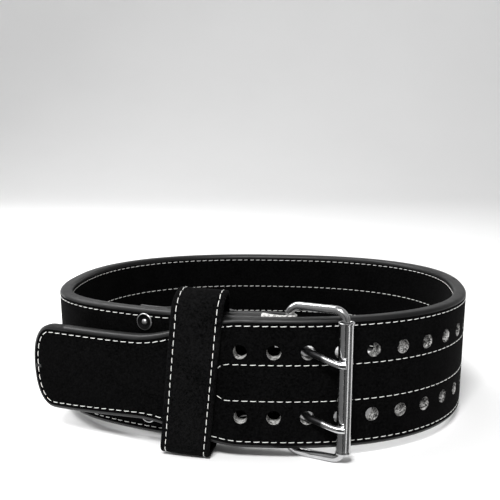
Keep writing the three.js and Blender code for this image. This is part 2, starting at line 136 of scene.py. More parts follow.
# Stitches
STITCH_PITCH = 6.65
STITCH_LENGTH = 4.7
THREAD_RADIUS = 0.26
EDGE_ROW = 5.5                 # from the strap's edge to its outer rows
KEEPER_ROW = 4.2
UPPER_ROW = 15.6               # heights of the two inner rows above and below the middle
LOWER_ROW = 12.7
ROWS_CLOSE = 58.3              # left of the pivot bar, where the inner rows join on the tongue
CLOSE_LENGTH = 13              # of their rounded end
GROOVE = 0.4

rng = np.random.default_rng(7)


def smooth(share):
    share = np.clip(share, 0, 1)
    return share * share * (3 - 2 * share)


def mix(a, b, share):
    return a + (b - a) * share


def spread(start, end, step):
    """Numbers from start to just before end."""
    count = max(1, round(abs(end - start) / step))
    return np.linspace(start, end, count, endpoint=False)


def unit(vectors):
    return vectors / np.linalg.norm(vectors, axis=-1, keepdims=True)


def length_along(points):
    """Length of a line up to each of its points."""
    return np.concatenate([[0], np.cumsum(np.linalg.norm(np.diff(points, axis=0), axis=1))])


def looked_up(where, places, values):
    """Values between the rows of a table, whose rows lie at the given places."""
    return np.stack([np.interp(where, places, column) for column in values.T], -1)


# The ring's outline
def ring_shape(angle):
    c, s = np.cos(angle), np.sin(angle)
    x = RING_HALF_X * np.sign(c) * np.abs(c) ** (2 / RING_POWER)
    y = RING_HALF_Y * np.sign(s) * np.abs(s) ** (2 / RING_POWER)
    turn_c, turn_s = math.cos(RING_TURN), math.sin(RING_TURN)
    return np.stack([x * turn_c - y * turn_s, x * turn_s + y * turn_c], -1)


ring_angles = BUCKLE_ANGLE + np.linspace(0, 2 * math.pi, 2881)
ring_points = ring_shape(ring_angles)
ring_runs = length_along(ring_points)
RING_LENGTH = ring_runs[-1]


def ring_frame(run):
    """Point, way along and way out on the ring's outer face."""
    angle = np.interp(np.mod(run, RING_LENGTH), ring_runs, ring_angles)
    small = 0.004
    along = unit(ring_shape(angle + small) - ring_shape(angle - small))
    outward = np.stack([along[..., 1], -along[..., 0]], -1)
    return ring_shape(angle), along, outward


def place(run, out):
    point, _, outward = ring_frame(np.asarray(run, float))
    return point + outward * np.asarray(out, float)[..., None]


# Where the strap lies double: depths below the ring's outer face, and the room that the keeper takes
BAR_RADIUS = WIRE / 2
WRAP_RADIUS = BAR_RADIUS + SEAT_GAP + FOLD_THICK
PIVOT_DEPTH = BELT_THICK + FOLD_GAP + WRAP_RADIUS
LAYER_DEPTH = BELT_THICK + LAYER_GAP
PATCH_DEPTH = LAYER_DEPTH + BELT_THICK + SEAT_GAP + FOLD_THICK
KEEPER_ROOM = KEEPER_THICK + 2 * SEAT_GAP
LEAN_SHIFT = HALF * math.tan(KEEPER_LEAN)
pivot_point, pivot_along, pivot_outward = ring_frame(0.0)
pivot = pivot_point - pivot_outward * PIVOT_DEPTH


def layer_depth(left):
    """Of the strap's own outer face. It is the inner layer left of the buckle, and the ring farther on."""
    front = mix(PIVOT_DEPTH - WRAP_RADIUS, LAYER_DEPTH, smooth(left / SKIVE_LENGTH))
    return front * (1 - smooth((left - FADE_START) / FADE_LENGTH))


def layer_thick(left):
    return mix(FOLD_THICK, BELT_THICK, smooth((left - SKIVE_END) / (SKIVE_LENGTH - SKIVE_END)))


def patch_depth(left):
    half = KEEPER_WIDTH / 2 + LEAN_SHIFT + KEEPER_PLAY
    near = smooth((left - KEEPER_RUN + half) / PATCH_RAMP_NEAR + 1)
    far = smooth((KEEPER_RUN + half - left) / PATCH_RAMP_FAR + 1)
    flat = mix(PIVOT_DEPTH + WRAP_RADIUS, PATCH_DEPTH, smooth(left / PATCH_SETTLE))
    return flat + KEEPER_ROOM * near * far


leave_point, leave_along, leave_outward = ring_frame(-float(TONGUE_LEAVES))


def tongue_point(left):
    """On the tongue's outer face, which follows the ring at first and then its own bend."""
    left = np.asarray(left, float)
    turn = np.maximum(left - TONGUE_LEAVES, 0)[..., None] / TONGUE_BEND
    beyond = (leave_point - TONGUE_BEND * np.sin(turn) * leave_along
              - TONGUE_BEND * (1 - np.cos(turn)) * leave_outward)
    return np.where(left[..., None] <= TONGUE_LEAVES, place(-left, 0 * left), beyond)


def tongue_half(left):
    taper_end = TAPER_START + TAPER_LENGTH
    waist = mix(BELT_HEIGHT, TONGUE_WAIST, smooth((left - TAPER_START) / TAPER_LENGTH))
    widening = smooth((left - taper_end) / (TONGUE_REACH - TONGUE_TIP - taper_end))
    return (waist + (TONGUE_HEIGHT - TONGUE_WAIST) * widening) / 2


# The buckle's roller rests on the strap, and the belt stands on the buckle, the keeper and its rear edge
ROLLER_REST = ROLLER_OUTER / 2 + ROLLER_RIM + SEAT_GAP


def roller_centre():
    """Where the roller rests on the strap, at the buckle's reach from the pivot bar, found by halving."""
    low, high = 0.0, FRAME_REACH * 1.5
    for _ in range(40):
        middle = (low + high) / 2
        if np.linalg.norm(place(middle, ROLLER_REST) - pivot) > FRAME_REACH:
            high = middle
        else:
            low = middle
    return place(low, ROLLER_REST)


roller = roller_centre()
reach_way = unit(roller - pivot)
FLOOR_SLOPE = (FRAME_HEIGHT / 2 + BAR_RADIUS - HALF) / (ring_points[:, 1].max() - pivot[1])
TILT = np.array(Matrix.Rotation(-math.atan(FLOOR_SLOPE), 3, "X"))
box_low, box_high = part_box("buckle_roller")
SHIFT = np.array((box_low + box_high) / 2) - TILT @ np.array([roller[0], roller[1], -ROLLER_DROP]) * MM


def to_row(points):
    return np.asarray(points, float) @ TILT.T * MM + SHIFT


def raised(flat, height):
    """Points of the plane, lifted to their heights."""
    flat, height = np.broadcast_arrays(flat, np.asarray(height, float)[..., None])
    return np.stack([flat[..., 0], flat[..., 1], height[..., 0]], -1)


# Meshes
def grid_faces(rows, columns, closed=False):
    """Four-sided faces of rows of points, each row a ring. Closed joins the last row to the first."""
    i, j = np.meshgrid(np.arange(rows if closed else rows - 1), np.arange(columns), indexing="ij")
    near, far = i * columns, (i + 1) % rows * columns
    after = (j + 1) % columns
    return np.stack([near + j, far + j, far + after, near + after], -1).reshape(-1, 4)


def end_faces(count, sides):
    """The two end faces of a tube of that many points."""
    return [list(range(sides))[::-1], list(range(count - sides, count))]


def new_object(name, data):
    made = bpy.data.objects.new(name, data)
    bpy.context.scene.collection.objects.link(made)
    return made


def build(name, points, faces, finishes, replaced=(), finish_of=None, crease=35, mapping=None):
    """One piece of the belt, from points in the belt's own frame."""
    mesh = bpy.data.meshes.new(name)
    mesh.from_pydata(to_row(points).tolist(), [], [list(face) for face in faces])
    mesh.shade_smooth()
    mesh.set_sharp_from_angle(angle=math.radians(crease))
    for finish in finishes:
        mesh.materials.append(finish)
    if finish_of is not None:
        mesh.polygons.foreach_set("material_index", np.asarray(finish_of, np.int32))
    if mapping is not None:
        layer = mesh.uv_layers.new(name="lay")
        corners = np.empty(len(mesh.loops), np.int32)
        mesh.loops.foreach_get("vertex_index", corners)
        layer.data.foreach_set("uv", np.asarray(mapping, np.float32)[corners].ravel())
    piece = new_object(name, mesh)
    if mesh_volume(points, faces) < 0:
        mesh.flip_normals()
    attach(piece, "root")
    if replaced:
        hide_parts(*replaced)
    return piece


def mesh_volume(points, faces):
    points = np.asarray(points)
    volume = 0.0
    for size in {len(face) for face in faces}:
        group = np.array([face for face in faces if len(face) == size])
        for k in range(1, size - 1):
            a, b, c = (points[group[:, n]] for n in (0, k, k + 1))
            volume += np.einsum("ij,ij->", a, np.cross(b, c))
    return volume


def tube_points(centres, across, up, half_across, half_up, sides):
    angle = np.arange(sides) / sides * 2 * math.pi
    c, s = np.cos(angle)[None, :, None], np.sin(angle)[None, :, None]
    sizes = [np.broadcast_to(size, len(centres))[:, None, None] for size in (half_across, half_up)]
    return (centres[:, None] + across[:, None] * sizes[0] * c + up[:, None] * sizes[1] * s).reshape(-1, 3)


def lathe(profile, sides, closed=False):
    """Points and faces of a turned piece; a profile point is a radius and a height along Y."""
    angle = np.arange(sides) / sides * 2 * math.pi
    radius, height = np.array(profile, float).T
    points = np.stack([radius[:, None] * np.cos(angle), height[:, None] + 0 * angle,
                       radius[:, None] * np.sin(angle)], -1).reshape(-1, 3)
    return points, grid_faces(len(profile), sides, closed)


# Strap: stations along it, each with its outer-face point, thickness, half height and left.
# Left goes on below zero round the fold and along the patch.
FOLD_LEFT = 20
PALE_FOLD_EDGE_END = 23                  # left of the pivot bar, where the thinned end's pale edge, in the raw leather finish, stops
FIRST_STATION = 2              # left of the pivot bar, on the strap and on the patch
FINE_END = 34                  # the fine stations end here, left of the pivot bar
HOLED_LENGTH = 205             # of strap right of the pivot bar, which has fine stations again
FINE_STEP = 2
LONG_STEP = 3.4
PATCH_STEP = 2.4
TONGUE_STEP = 2.6
FOLD_STATIONS = 25
TIP_STATIONS = 22
TIP_TURN = 88.5                # degrees, just short of the tongue's end


def strap_stations():
    points, thick, half, lefts = [], [], [], []

    def add(these, thickness, half_height, counted):
        points.append(these)
        lefts.append(counted)
        thick.append(np.broadcast_to(thickness, len(these)))
        half.append(np.broadcast_to(half_height, len(these)))
        return sum(map(len, points))

    left = spread(PATCH_LENGTH, FIRST_STATION, PATCH_STEP)
    patch_end = add(place(-left, -patch_depth(left)), FOLD_THICK, HALF, -FOLD_LEFT - left)
    turn = np.radians(np.linspace(-90, 90, FOLD_STATIONS))[:, None]
    wrap = pivot + WRAP_RADIUS * (np.cos(turn) * pivot_along + np.sin(turn) * pivot_outward)
    add(wrap, FOLD_THICK, HALF, np.linspace(-FOLD_LEFT, 0, len(wrap)))
    holed = RING_LENGTH - HOLED_LENGTH
    left = np.concatenate([spread(FIRST_STATION, FINE_END, FINE_STEP), spread(FINE_END, holed, LONG_STEP),
                           spread(holed, RING_LENGTH + TAPER_START, FINE_STEP)])
    add(place(-left, -layer_depth(left)), layer_thick(left), HALF, left)
    taper_end, tip_start = TAPER_START + TAPER_LENGTH, TONGUE_REACH - TONGUE_TIP
    left = np.concatenate([spread(TAPER_START, taper_end, FINE_STEP),
                           spread(taper_end, tip_start, TONGUE_STEP)])
    add(tongue_point(left), BELT_THICK, tongue_half(left), RING_LENGTH + left)
    turn = np.radians(np.linspace(0, TIP_TURN, TIP_STATIONS))
    left = tip_start + TONGUE_TIP * np.sin(turn) ** (2 / TIP_POWER)
    add(tongue_point(left), BELT_THICK, tongue_half(tip_start) * np.cos(turn) ** (2 / TIP_POWER),
        RING_LENGTH + left)
    return *map(np.concatenate, (points, thick, half, lefts)), patch_end


station_point, station_thick, station_half, station_left, PATCH_STATIONS = strap_stations()
station_way = unit(np.gradient(station_point, axis=0))
station_inward = np.stack([station_way[:, 1], -station_way[:, 0]], -1)
station_fall = -np.gradient(station_half, length_along(station_point))
station_norm = np.hypot(1, station_fall)
cell_left = (station_left[:-1] + station_left[1:]) / 2


def edge_line(inset):
    """Height of a line that far from the strap's edge, and its points' distance back along the strap."""
    return station_half - inset / station_norm, inset * station_fall / station_norm


# Lines of points on one half of a face, from the strap's middle to its edge
MIDDLE_LINES = 7
ROW_SIDE = 1.4                 # from an inner row to the lines beside it
ROW_LINES = [(-ROW_SIDE, 0.15), (0, 1), (ROW_SIDE, 0.15)]              # aside, share of the groove's depth
SPACE_LINES = 12
EDGE_START = 8.5               # from the strap's edge to the first of its lines
EDGE_LINES = [(6.9, 0.15), (EDGE_ROW, 1), (4.1, 0.2)]                  # from the edge, share of the depth
FACE_LINES = MIDDLE_LINES + len(ROW_LINES) + SPACE_LINES + len(EDGE_LINES)
CORNER_TURNS = np.radians([0, 18, 36, 54, 72, 90])
THIN_ROUND = 0.45              # of a thin edge's thickness, where EDGE_ROUND is more
EDGE_BULGE = 0.12
ROWS_FADE = 6                  # length over which the inner rows' groove runs out

# The sheet is the lower half's lines turned round and the upper half's lines
HALF_COLUMNS = 2 * (FACE_LINES + len(CORNER_TURNS)) + 1
COLUMNS = 2 * HALF_COLUMNS
OUTER = np.arange(HALF_COLUMNS - FACE_LINES, HALF_COLUMNS + FACE_LINES)
BEHIND = (HALF_COLUMNS - 1 - OUTER) % COLUMNS          # the inner face's column behind each outer one
# Faces of the painted edges. At the top the paint goes one line over onto the inner face.
PAINTED = np.r_[FACE_LINES:HALF_COLUMNS - FACE_LINES - 1, HALF_COLUMNS + FACE_LINES:COLUMNS - FACE_LINES]
SUEDE, PAINT, RAW = 0, 1, 2


def strap_side(side):
    """Points of one half of the strap's section at every station, from the outer face round its edge."""
    last_line, last_back = edge_line(EDGE_START)
    row = (UPPER_ROW if side > 0 else LOWER_ROW) * last_line / (HALF - EDGE_START)
    stitched = 1 - smooth((station_left - RING_LENGTH - ROWS_CLOSE + ROWS_FADE) / ROWS_FADE)
    groove = GROOVE * (station_thick / BELT_THICK)
    lines = []
    for share in np.linspace(0.5 / (MIDDLE_LINES + 0.5), 1, MIDDLE_LINES + 1)[:-1]:
        lines.append(((row - ROW_SIDE) * share, 0 * row))
    for aside, dip in ROW_LINES:
        lines.append((row + aside, dip * stitched))
    for share in np.linspace(0, 1, SPACE_LINES + 1)[1:]:
        lines.append((mix(row + ROW_SIDE, last_line, share), 0 * row))
    # Each line's height, distance back along the strap and depth under the outer face
    outside = [(height, last_back, groove * dip) for height, dip in lines]
    outside += [(*edge_line(inset), groove * dip) for inset, dip in EDGE_LINES]
    size = np.minimum(EDGE_ROUND, station_thick * THIN_ROUND)
    outside += [(*edge_line(size * (1 - np.sin(turn))), size * (1 - np.cos(turn))) for turn in CORNER_TURNS]
    middle = [(station_half + EDGE_BULGE, 0 * row, station_thick / 2)]
    inside = [(height, back, station_thick - depth) for height, back, depth in outside[::-1]]
    columns = []
    for height, back, depth in outside + middle + inside:
        flat = station_point - station_way * back[:, None] + station_inward * depth[:, None]
        columns.append(raised(flat, side * height))
    return np.stack(columns, 1)


# Holes and slots in the strap
SLOT_HALF = PRONG_WIRE / 2 + SEAT_GAP
SLOT_MARGIN = 0.4              # beside a slot, in which cells are still taken
SLOT_MIDDLE = 1.5              # points of a slot's ends that are nearer its middle stay
WALL_DEPTHS = [0.04, 0.14, 0.4, 0.7, 0.9]              # rows of points on a wall, as shares of it
FRAY = 0.12


def hole_places():
    """Left and height of each punched hole."""
    for row in (1, -1):
        for k in range(-HOLES_LEFT, HOLES_RIGHT + 1):
            yield RING_LENGTH - (PRONG_HOLE_RUN + k * HOLE_PITCH), row * HOLE_ROWS / 2


def to_circle(offset):
    """The move to a hole's rim, from a point's offset from the hole's middle."""
    return offset / np.linalg.norm(offset) * HOLE_DIAMETER / 2 - offset


def to_slot_side(offset):
    """The move to a slot's side, up or down only."""
    if abs(offset[1]) <= SLOT_MIDDLE:
        return 0, 0
    return 0, math.copysign(SLOT_HALF, offset[1]) - offset[1]


def strap_cuts(sheet):
    """Cells of the outer face that the holes and slots take. Points beside them are moved to the rims."""
    gone = np.zeros((len(sheet), len(OUTER)), bool)
    height = sheet[:, OUTER, 2]
    cell_height = (height[:-1, :-1] + height[1:, 1:]) / 2

    def cut(cells, left, level, to_rim):
        gone[:-1, :-1] |= cells
        taken = np.zeros(gone.shape, int)
        for di in (0, 1):
            for dj in (0, 1):
                taken[di:len(gone) - 1 + di, dj:len(OUTER) - 1 + dj] += cells
        for i, j in zip(*np.nonzero((taken > 0) & (taken < 4))):
            d_left, d_height = to_rim(np.array([station_left[i] - left, height[i, j] - level]))
            for column in (OUTER[j], BEHIND[j]):
                sheet[i, column, :2] += station_way[i] * d_left
                sheet[i, column, 2] += d_height

    for left, level in hole_places():
        away = np.hypot(cell_left[:, None] - left, cell_height - level)
        cut(away < HOLE_DIAMETER / 2, left, level, to_circle)
    in_slot = np.zeros(len(cell_left), bool)
    in_slot[slice(*np.searchsorted(station_left, [-FOLD_LEFT - SLOT_LENGTH, SLOT_LENGTH]))] = True
    for level in (HOLE_ROWS / 2, -HOLE_ROWS / 2):
        cells = in_slot[:, None] & (np.abs(cell_height - level) < SLOT_HALF + SLOT_MARGIN)
        cut(cells, 0, level, to_slot_side)
    return gone


def sheet_faces(gone):
    """Faces of the sheet beside its cuts, and their finishes."""
    kept = np.ones((len(gone) - 1, COLUMNS), bool)
    i, j = np.nonzero(gone)
    kept[i, OUTER[j]] = False
    kept[i, BEHIND[j + 1]] = False
    kinds = np.full(kept.shape, SUEDE)
    kinds[:, PAINTED] = PAINT
    kinds[np.ix_((cell_left >= -FOLD_LEFT) & (cell_left < PALE_FOLD_EDGE_END), PAINTED)] = RAW
    return grid_faces(len(gone), COLUMNS)[kept.ravel()].tolist(), kinds[kept].tolist()


def cut_walls(points, gone):
    """Faces of the walls in the holes and slots, their finishes, and the points that they add."""
    faces, kinds, extra, ladders = [], [], [], {}

    def ladder(i, j):
        """A wall's points from the outer face to the inner one."""
        if (i, j) not in ladders:
            start, end = i * COLUMNS + int(OUTER[j]), i * COLUMNS + int(BEHIND[j])
            first = len(points) + len(extra)
            ladders[i, j] = [start, *range(first, first + len(WALL_DEPTHS)), end]
            for depth in WALL_DEPTHS:
                fray = rng.normal(0, FRAY, 3) * (depth > WALL_DEPTHS[0])
                extra.append(mix(points[start], points[end], depth) + fray)
        return ladders[i, j]

    def wall(a, b):
        one, two = ladder(*a), ladder(*b)
        quads = list(zip(one, two, two[1:], one[1:]))
        faces.extend(quads)
        kinds.extend([SUEDE if station_left[a[0]] < 2 * SLOT_LENGTH else RAW] * len(quads))

    for i, j in zip(*np.nonzero(gone)):
        if not gone[i - 1, j]:
            wall((i, j), (i, j + 1))
        if not gone[i + 1, j]:
            wall((i + 1, j + 1), (i + 1, j))
        if not gone[i, j - 1]:
            wall((i + 1, j), (i, j))
        if not gone[i, j + 1]:
            wall((i, j + 1), (i + 1, j + 1))
    return faces, kinds, extra


def strap_ends(rows):
    """Faces of the strap's two ends, where the upper half of the section meets the lower half."""
    faces = []
    for start, way in ((0, 1), ((rows - 1) * COLUMNS, -1)):
        for k in range(HALF_COLUMNS - 1):
            up, down = start + HALF_COLUMNS + k, start + HALF_COLUMNS - 1 - k
            faces.append((down, up, up + 1, down - 1)[::way])
    return faces


def strap(finishes):
    sheet = np.concatenate([strap_side(-1)[:, ::-1], strap_side(1)], 1)
    gone = strap_cuts(sheet)
    points = sheet.reshape(-1, 3)
    faces, kinds = sheet_faces(gone)
    wall_faces, wall_kinds, wall_points = cut_walls(points, gone)
    ends = strap_ends(len(sheet))
    kinds += wall_kinds + [PAINT] * len(ends)
    used, corners = np.unique(np.array(faces + wall_faces + ends), return_inverse=True)
    points = np.concatenate([points, wall_points])[used]
    return build("belt_strap", points, corners.reshape(-1, 4), finishes, ["strap"], kinds)


# Keeper
def tongue_out(run):
    """How far the tongue stands out from the ring."""
    point, _, outward = ring_frame(run)
    return ((tongue_point(-run) - point) * outward).sum(-1)


KEEPER_BACK = -(LAYER_DEPTH + BELT_THICK + SEAT_GAP)
KEEPER_FRONT = SEAT_GAP


def floor_under(y):
    """The floor's height in the belt's own frame."""
    return -HALF - (ring_points[:, 1].max() - y) * FLOOR_SLOPE


def arc(centre, radius, start, end, count):
    angle = np.radians(np.linspace(start, end, count + 1))
    normal = np.stack([np.cos(angle), np.sin(angle)], -1)
    return np.array(centre) + normal * radius, normal


def keeper_path():
    """The loop's inner line and its ways out, upright: distance out from the ring, and height."""
    reach = (KEEPER_FRONT - KEEPER_BACK) / 2
    middle = (KEEPER_FRONT + KEEPER_BACK) / 2
    top = HALF + KEEPER_ARCH - KEEPER_THICK - reach
    point, _, outward = ring_frame(-float(KEEPER_RUN))
    back_y = point[1] + KEEPER_BACK * outward[1]
    sag = KEEPER_WIDTH / 2 * math.sin(KEEPER_TILT)
    bottom = floor_under(back_y) + sag + KEEPER_THICK + KEEPER_FOOT
    arcs = [arc((middle, top), reach, 0, 180, 28),
            arc((KEEPER_BACK + KEEPER_FOOT, bottom), KEEPER_FOOT, 180, 270, 8),
            arc((KEEPER_FRONT - KEEPER_FOOT, bottom), KEEPER_FOOT, 270, 360, 8)]
    points, normals = [], []
    for number, (these, ways) in enumerate(arcs):
        start, end = these[-1], arcs[(number + 1) % len(arcs)][0][0]
        shares = spread(0, 1, KEEPER_STEP / np.linalg.norm(end - start))[1:, None]
        points += [these, start + (end - start) * shares]
        normals += [ways, np.broadcast_to(ways[-1], (len(shares), 2))]
    return np.concatenate(points), np.concatenate(normals)


def keeper_place(spot, across):
    """Where a point of the upright, untwisted loop lies on the belt."""
    c, s = math.cos(KEEPER_LEAN), math.sin(KEEPER_LEAN)
    run = -KEEPER_RUN + across * c + spot[..., 1] * s
    height = spot[..., 1] * c - across * math.sin(KEEPER_TILT)
    share = np.clip((spot[..., 0] - KEEPER_BACK) / (KEEPER_FRONT - KEEPER_BACK), 0, 1)
    return raised(place(run, spot[..., 0] + share * tongue_out(run)), height)


def keeper_section():
    """Points round the strip's section: across it, and up from its inner face."""
    half = KEEPER_WIDTH / 2
    row = half - KEEPER_ROW
    grooved = [(half - KEEPER_ROUND - 1.2, 0), (row + 1, 0.2), (row, 1), (row - 1, 0.2)]
    lines = [(across, GROOVE * dip) for across, dip in grooved]
    lines += [(across, 0) for across in np.linspace(row - 3, 0, 7)]
    side = [(half - KEEPER_ROUND * (1 - math.sin(turn)), KEEPER_THICK - KEEPER_ROUND * (1 - math.cos(turn)))
            for turn in np.radians([90, 67.5, 45, 22.5, 0])]
    outside = side + [(across, KEEPER_THICK - dip) for across, dip in lines]
    inside = [(across, KEEPER_THICK - up) for across, up in outside]
    right = inside[::-1] + outside
    return right[1:] + [(-across, up) for across, up in right[:-1][::-1]]


def keeper(finishes):
    path, normals = keeper_path()
    section = np.array(keeper_section())
    spots = path[:, None] + normals[:, None] * section[None, :, 1:]
    points = keeper_place(spots, np.broadcast_to(section[:, 0], spots.shape[:2]))
    faces = grid_faces(*points.shape[:2], closed=True)
    return build("keeper_loop", points.reshape(-1, 3), faces, finishes, ["keeper"])


# Buckle
CORNER_STEPS = 14
WIRE_SIDES = 28
ROLLER_SIDES = 72
# The roller's rim: share of ROLLER_RIM, and distance from the roller's end
RIM_SWELLS = [(0, 2.6), (0.2, 2), (0.9, 1.3), (1, 0.9), (0.9, 0.25), (0.4, 0)]
ROLLER_BEVEL = (0.25, 0.3)     # across its end and down its bore
PRONG_SIDES = 24
PRONG_STATIONS = 49
# A prong's way: right of its hole's middle in hole radii and out in belt thicknesses, then round the
# roller's middle, along and out, in shares of the distance at which it rests
PRONG_THROUGH = [(-0.22, -1), (0.09, -0.3), (0.69, 0.27)]
PRONG_OVER = [(-0.916, 0.876), (-0.1, 1.05)]
# Its tip is cut flat, with a small bevel, a burr and a shallow dish: length on, share of its width
PRONG_TIP = [(0.15, 1.04), (0.5, 1.02), (0.7, 0.9), (0.62, 0.7), (0.5, 0.35)]


def wire_loop(finishes):
    in_x, in_z = FRAME_REACH - FRAME_CORNER, FRAME_HEIGHT / 2 - FRAME_CORNER
    corners = [(in_x, in_z, 0), (FRAME_CORNER, in_z, 90), (FRAME_CORNER, -in_z, 180), (in_x, -in_z, 270)]
    arcs = [arc((x, z), FRAME_CORNER, start, start + 90, CORNER_STEPS) for x, z, start in corners]
    path = np.concatenate([points for points, _ in arcs])
    normals = np.concatenate([ways for _, ways in arcs])

    def lift(flat):
        return raised(flat[:, :1] * reach_way, flat[:, 1])
    centres = lift(path) + np.append(pivot, 0)
    across = np.broadcast_to([-reach_way[1], reach_way[0], 0], centres.shape)
    points = tube_points(centres, lift(normals), across, BAR_RADIUS, BAR_RADIUS, WIRE_SIDES)
    faces = grid_faces(len(path), WIRE_SIDES, closed=True)
    return build("buckle_wire", points, faces, finishes, ["buckle_frame"])


def roller_tube(finishes):
    outer, inner, half = ROLLER_OUTER / 2, ROLLER_INNER / 2, ROLLER_LENGTH / 2
    rim = [(outer + ROLLER_RIM * swell, half - setback) for swell, setback in RIM_SWELLS]
    rim += [(inner + ROLLER_BEVEL[0], half), (inner, half - ROLLER_BEVEL[1])]
    profile = rim + [(radius, -height) for radius, height in rim[::-1]]
    points, faces = lathe(profile, ROLLER_SIDES, closed=True)
    points = np.stack([points[:, 0], -points[:, 2], points[:, 1]], -1) + np.append(roller, -ROLLER_DROP)
    return build("buckle_roller_tube", points, faces, finishes, ["buckle_roller"])


def bend(knots, count):
    """A smooth line of evenly spaced points through the knots."""
    knots = np.array(knots)
    padded = np.concatenate([knots[:1], knots, knots[-1:]])
    found = []
    for p0, p1, p2, p3 in zip(padded, padded[1:], padded[2:], padded[3:]):
        t = np.linspace(0, 1, 60)[:, None]
        v0, v1 = (p2 - p0) / 2, (p3 - p1) / 2
        cubic, square = 2 * p1 - 2 * p2 + v0 + v1, 3 * p2 - 3 * p1 - 2 * v0 - v1
        found.append(cubic * t ** 3 + square * t ** 2 + v0 * t + p1)
    line = np.concatenate(found)
    length = length_along(line)
    return looked_up(np.linspace(0, length[-1], count), length, line)


def prong_path():
    """A prong's middle line from above, and the share of its shank at each point."""
    eye = BAR_RADIUS + SEAT_GAP + PRONG_EYE / 2
    rest = ROLLER_OUTER / 2 + PRONG_WIRE / 2 + SEAT_GAP

    def beside(centre, along, out):
        return centre + along * pivot_along + out * pivot_outward
    turn = np.radians(np.arange(50, 268, 11))[:, None]
    loop = beside(pivot, eye * np.cos(turn), eye * np.sin(turn))
    knots = [beside(pivot, 0, -eye), beside(pivot, 1.5 * eye, -0.75 * eye)]
    for past, out in PRONG_THROUGH:
        knots.append(place(PRONG_HOLE_RUN + past * HOLE_DIAMETER / 2, out * BELT_THICK))
    knots += [beside(roller, rest * along, rest * out) for along, out in PRONG_OVER]
    share = np.concatenate([np.zeros(len(loop)), np.linspace(0, 1, PRONG_STATIONS)])
    return np.concatenate([loop, bend(knots, PRONG_STATIONS)]), share


def prong(name, node, level, drop, finishes):
    """One prong. Its map's first value is its distance right of the pivot bar."""
    path, share = prong_path()
    way = unit(np.gradient(path, axis=0))
    centres = raised(path, level - drop * smooth(share * 2 - 1))
    side = raised(np.stack([way[:, 1], -way[:, 0]], -1), 0 * share)
    up = np.broadcast_to([0.0, 0, 1], side.shape)
    half_side = mix(PRONG_EYE, PRONG_WIRE, smooth(share * 4)) / 2
    tube = tube_points(centres, side, up, half_side, PRONG_WIRE / 2, PRONG_SIDES)
    last, middle = tube[-PRONG_SIDES:], centres[-1]
    tip_way = unit(middle - centres[-2])
    tips = [middle + (last - middle) * size + tip_way * out for out, size in PRONG_TIP]
    points = np.concatenate([tube, *tips])
    faces = grid_faces(len(points) // PRONG_SIDES, PRONG_SIDES).tolist() + end_faces(len(points), PRONG_SIDES)
    run = (points[:, :2] - pivot) @ pivot_along
    return build(name, points, faces, finishes, [node], mapping=np.stack([run, 0 * run], -1))


# Rivets: a cupped washer with a domed cap outside, a shank, and a flat disc inside
RIVET_SIDES = 40
RIVET_DEPTH = PATCH_DEPTH - LAYER_DEPTH + 2 * SEAT_GAP     # from the head's seat to the disc's
TURNED_END = 0.01              # radius at the middle of a turned piece's ends
# Shares of the head's radius and heights over its seat, then shares of the disc's radius and depths
# under its seat
RIVET_CUP = [(0.1, 2.16), (0.2, 2), (0.28, 1.7), (0.33, 1.2), (0.36, 0.6), (0.45, 0.55), (0.6, 0.8),
             (0.8, 1.35), (0.9, 1.5), (0.96, 1.45), (1, 1.15), (1, 0.5), (0.96, 0)]
RIVET_FLAT = [(0.97, 0), (1, 0.2), (1, 0.9), (0.96, 1.25), (0.88, 1.45), (0.5, 1.5)]
CUP_TOP = 2.2
FLAT_BOTTOM = 1.5


def rivets(finishes):
    """All six. Their map gives the share of the head's radius, and of RIVET_DEPTH over its seat."""
    head, disc, shank = RIVET_HEAD / 2, RIVET_DISC / 2, RIVET_SHANK / 2
    profile = [(TURNED_END, CUP_TOP)] + [(head * share, height) for share, height in RIVET_CUP]
    profile += [(shank, 0), (shank, -RIVET_DEPTH)]
    profile += [(disc * share, -RIVET_DEPTH - below) for share, below in RIVET_FLAT]
    profile.append((TURNED_END, -RIVET_DEPTH - FLAT_BOTTOM))
    turned, faces = lathe(profile, RIVET_SIDES)
    ends = [end[::-1] for end in end_faces(len(turned), RIVET_SIDES)]
    all_points, all_faces = [], []
    for left in RIVET_RUNS:
        seat = place(-left, -LAYER_DEPTH + SEAT_GAP)
        _, along, outward = ring_frame(-float(left))
        lay = np.array([np.append(along, 0), np.append(outward, 0), [0, 0, 1]])
        for row in (1, 0, -1):
            start = len(all_points) * len(turned)
            all_points.append(turned @ lay + np.append(seat, row * RIVET_PITCH + RIVET_RISE))
            all_faces += [[start + corner for corner in face] for face in faces.tolist() + ends]
    nodes = [f"rivet_{column}_{row}" for column in (1, 2) for row in (1, 2, 3)]
    reach = np.hypot(turned[:, 0], turned[:, 2]) / head
    mapping = np.tile(np.stack([reach, turned[:, 1] / RIVET_DEPTH], -1), (len(all_points), 1))
    return build("rivets", np.concatenate(all_points), all_faces, finishes, nodes,
                 crease=50, mapping=mapping)


# Stitches
STITCH_SIDES = 8
STITCH_SLIP = 0.12             # spread of their places along the seam
STITCH_SLANT = (0.045, 0.02)   # sideways for a length of one: middle and spread
STITCH_UNEVEN = 0.035          # spread of their lengths, as a share
STITCH_LIFT = 0.62             # of the rises below
STITCH_SINK = 0.7              # of the groove's depth
STITCH_FLAT = 0.85             # of the thread's height
# A stitch's middle line: share of its length from its middle, and rise
STITCH_RISE = [(-0.5, -0.75), (-0.46, -0.2), (-0.36, 0.22), (-0.15, 0.42), (0.15, 0.42),
               (0.36, 0.22), (0.46, -0.2), (0.5, -0.75)]
OUTLINE_START = 34             # left of the pivot bar, where the outer and the inner rows start
ROWS_START = 37.3
INSIDE_START = PATCH_LENGTH + 3    # of all rows on the inner face, past the folded end
PATCH_END_ROW = 4.2            # from the folded end's edge to the row across it, and to the other rows
PATCH_ROWS_START = 4.5


